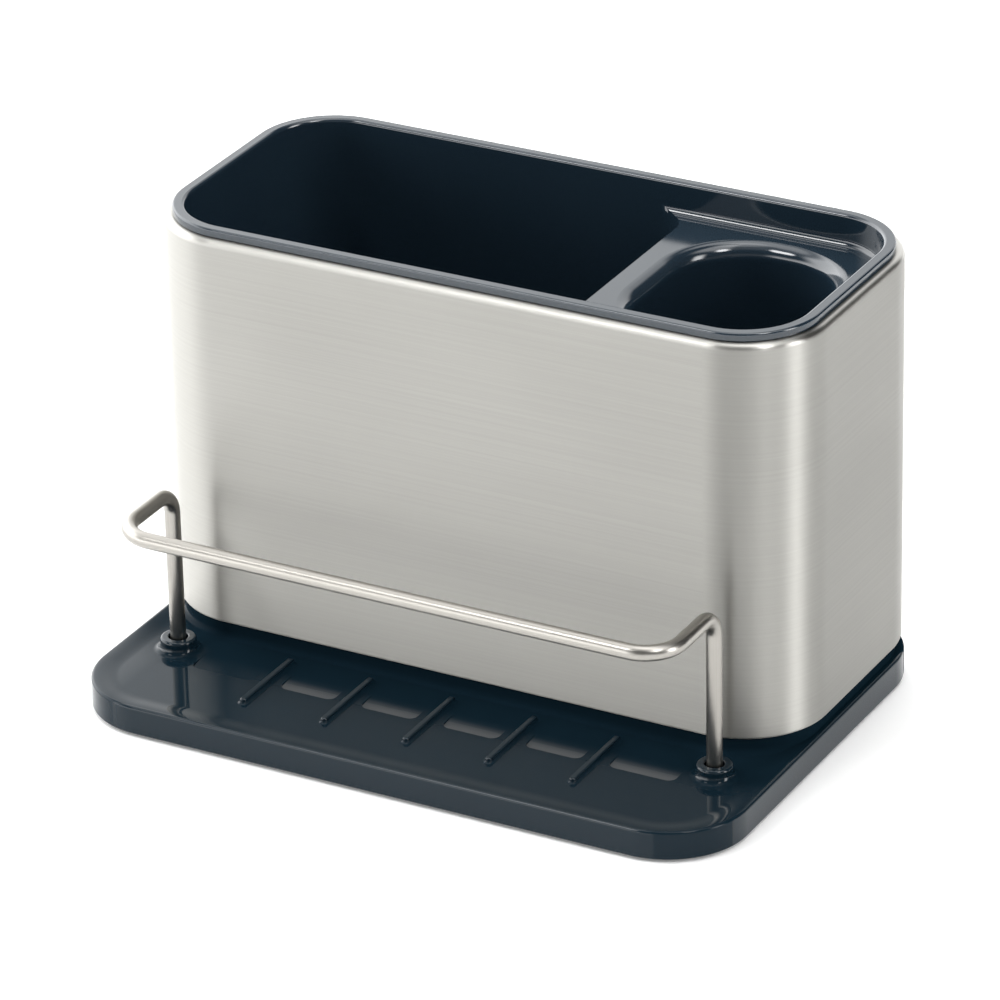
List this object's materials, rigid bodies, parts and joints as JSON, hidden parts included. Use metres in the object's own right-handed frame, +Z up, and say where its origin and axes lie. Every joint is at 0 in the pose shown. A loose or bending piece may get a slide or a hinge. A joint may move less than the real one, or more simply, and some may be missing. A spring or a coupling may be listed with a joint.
{
  "type": "sink organizer",
  "caption": "Worktop caddy for washing-up tools: a steel sleeve with a lift-out plastic liner, on a drip tray with a wire cloth rail.",
  "frame": {"origin": "on the worktop, under the middle of the organizer's bounding box", "axes": "+X to the right along the rail, +Y from the rail towards the back, +Z up"},
  "size_m": [0.235, 0.1644, 0.156],
  "materials": {
    "tray_plastic": "glossy dark slate moulding",
    "caddy_plastic": "semi-gloss dark slate moulding",
    "sleeve_steel": "fine horizontal brushing",
    "rail_steel": "lengthwise polished round wire",
    "foot_rubber": "matt black rubber"
  },
  "bodies": {
    "base": {"base_tray": "tray_plastic", "foot_back_left": "foot_rubber", "foot_back_right": "foot_rubber", "foot_front_left": "foot_rubber", "foot_front_right": "foot_rubber"},
    "sleeve": {"steel_sleeve": "sleeve_steel"},
    "caddy": {"caddy_liner": "caddy_plastic"},
    "rail": {"wire_rail": "rail_steel"}
  },
  "joints": [
    {"name": "sleeve_lift", "type": "slide", "parent": "base", "child": "sleeve", "axis": [0, 0, 1], "range_m": [0, 0.06]},
    {"name": "caddy_lift", "type": "slide", "parent": "sleeve", "child": "caddy", "axis": [0, 0, 1], "range_m": [0, 0.125]},
    {"name": "rail_lift", "type": "slide", "parent": "base", "child": "rail", "axis": [0, 0, 1], "range_m": [0, 0.015]}
  ]
}
